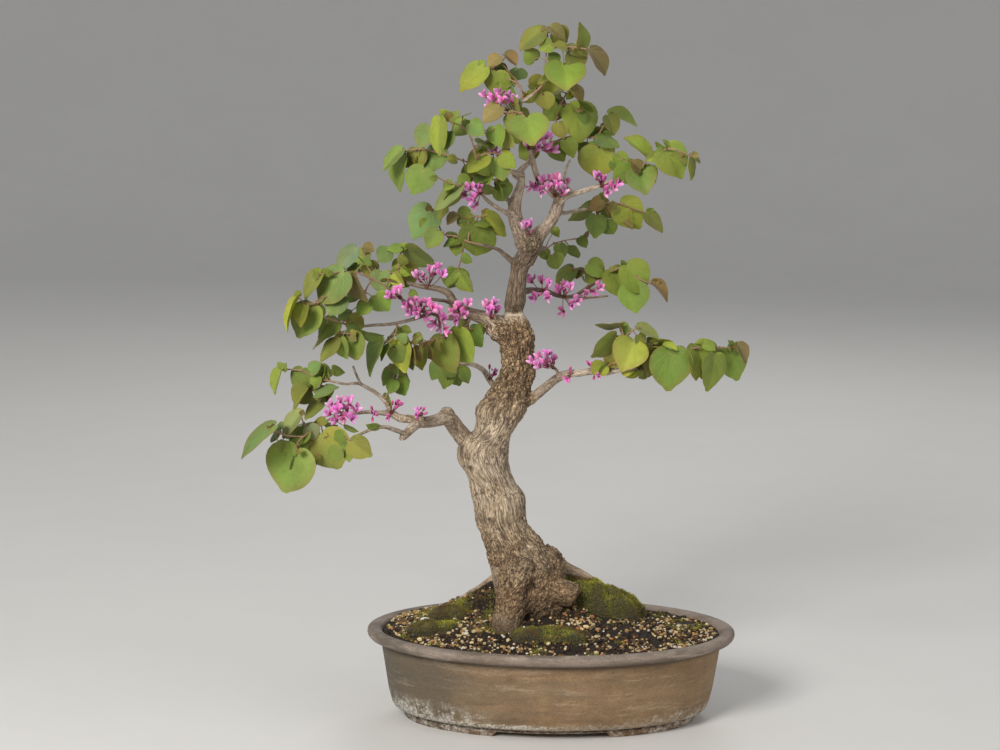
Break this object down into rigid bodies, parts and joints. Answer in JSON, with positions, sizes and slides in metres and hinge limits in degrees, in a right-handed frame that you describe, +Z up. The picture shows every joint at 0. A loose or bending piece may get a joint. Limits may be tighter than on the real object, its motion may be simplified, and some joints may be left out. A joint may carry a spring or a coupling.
{
  "type": "flowering bonsai tree in an oval pot",
  "caption": "Redbud bonsai with a leaning trunk, airy sprays of heart-shaped leaves and pink flower clusters, set in soil and moss in an oval ceramic pot.",
  "frame": {"origin": "middle of the bounding box, on the plane the pot's feet stand on", "axes": "+Z up, +X to the viewer's right along the pot's long axis, +Y away from the viewer"},
  "size_m": [0.462, 0.3056, 0.659],
  "materials": {
    "pot": "unglazed, matt, weathered",
    "soil": "rough",
    "moss": "velvety",
    "bark": "rough bark",
    "leaf": "satin",
    "flower": "soft"
  },
  "bodies": {
    "root": {"flowers_apex": "flower", "flowers_back": "flower", "flowers_centre": "flower", "flowers_crown": "flower", "flowers_fork": "flower", "flowers_high_left": "flower", "flowers_leader": "flower", "flowers_left_axil": "flower", "flowers_left_buds": "flower", "flowers_left_crotch": "flower", "flowers_left_edge": "flower", "flowers_left_limb": "flower", "flowers_left_pad": "flower", "flowers_left_top": "flower", "flowers_low_left": "flower", "flowers_low_left_fork": "flower", "flowers_low_left_spur": "flower", "flowers_low_left_twig": "flower", "flowers_right_back": "flower", "flowers_right_branch": "flower", "flowers_right_end": "flower", "flowers_right_low": "flower", "flowers_right_low_start": "flower", "flowers_right_low_twig": "flower", "flowers_right_upper": "flower", "flowers_upper_left": "flower", "moss_front": "moss", "moss_front_left": "moss", "moss_left": "moss", "moss_mound": "moss", "pot": "pot", "soil": "soil", "spray_apex": "leaf", "spray_apex_left": "leaf", "spray_centre_back": "leaf", "spray_crown_heart": "leaf", "spray_crown_right": "leaf", "spray_high_left": "leaf", "spray_high_left_end": "leaf", "spray_left_back": "leaf", "spray_left_far": "leaf", "spray_left_hanging": "leaf", "spray_left_inner": "leaf", "spray_left_low": "leaf", "spray_left_middle": "leaf", "spray_left_pad": "leaf", "spray_left_upper": "leaf", "spray_low_left": "leaf", "spray_low_left_far": "leaf", "spray_low_left_front": "leaf", "spray_low_left_upright": "leaf", "spray_right_centre": "leaf", "spray_right_low": "leaf", "spray_right_low_inner": "leaf", "spray_right_middle": "leaf", "spray_right_upper": "leaf", "trunk": "bark"}
  },
  "joints": []
}
